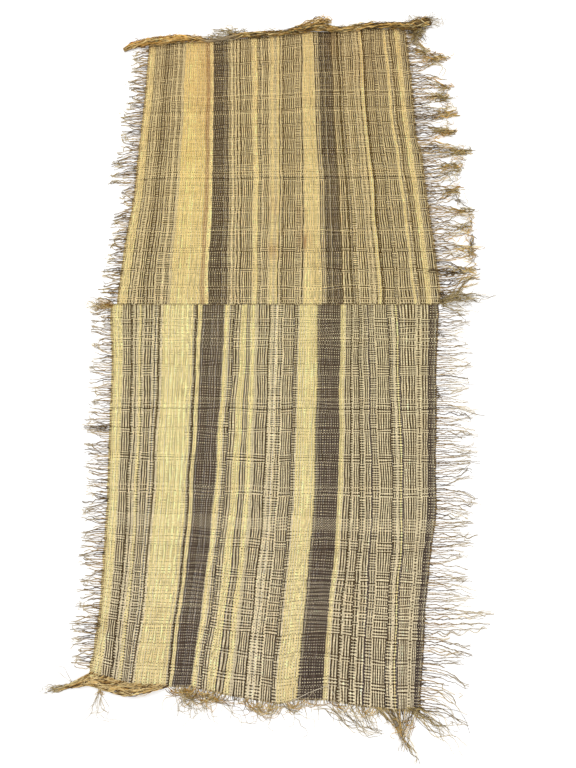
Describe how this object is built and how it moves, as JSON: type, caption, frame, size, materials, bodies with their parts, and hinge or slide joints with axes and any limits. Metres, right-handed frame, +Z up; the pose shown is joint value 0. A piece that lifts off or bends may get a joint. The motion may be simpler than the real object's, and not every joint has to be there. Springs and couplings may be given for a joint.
{
  "type": "raffia mat",
  "caption": "Flat striped raffia mat of woven panels sewn end to end, with a rolled heading, fringed sides and loose warp ends.",
  "frame": {"origin": "on the floor under the middle of the bounding box", "axes": "+X across the mat, +Y along the warp towards the rolled heading, +Z up out of the floor"},
  "size_m": [0.7764, 1.448, 0.0169],
  "materials": {
    "upper_weave": "plain-woven raffia, matt with a dry sheen, warp-striped straw, brown and near black",
    "lower_weave": "plain-woven raffia, matt with a dry sheen, warp-striped straw, brown and near black",
    "seam_raffia": "rolled golden raffia ends, matt",
    "heading_raffia": "twisted golden brown raffia fibre, matt",
    "warp_end_raffia": "loose golden raffia warp ends, matt",
    "fringe_raffia": "fine frayed raffia weft ends, matt, straw to grey brown"
  },
  "bodies": {
    "root": {"upper_panel": "upper_weave", "lower_panel": "lower_weave", "seam_cord": "seam_raffia", "top_roll": "heading_raffia", "bottom_roll": "warp_end_raffia", "tassel": "warp_end_raffia", "fringe_upper_left": "fringe_raffia", "fringe_upper_right": "fringe_raffia", "fringe_lower_left": "fringe_raffia", "fringe_lower_right": "fringe_raffia", "fringe_bottom": "fringe_raffia", "fringe_corner": "fringe_raffia"}
  },
  "joints": []
}
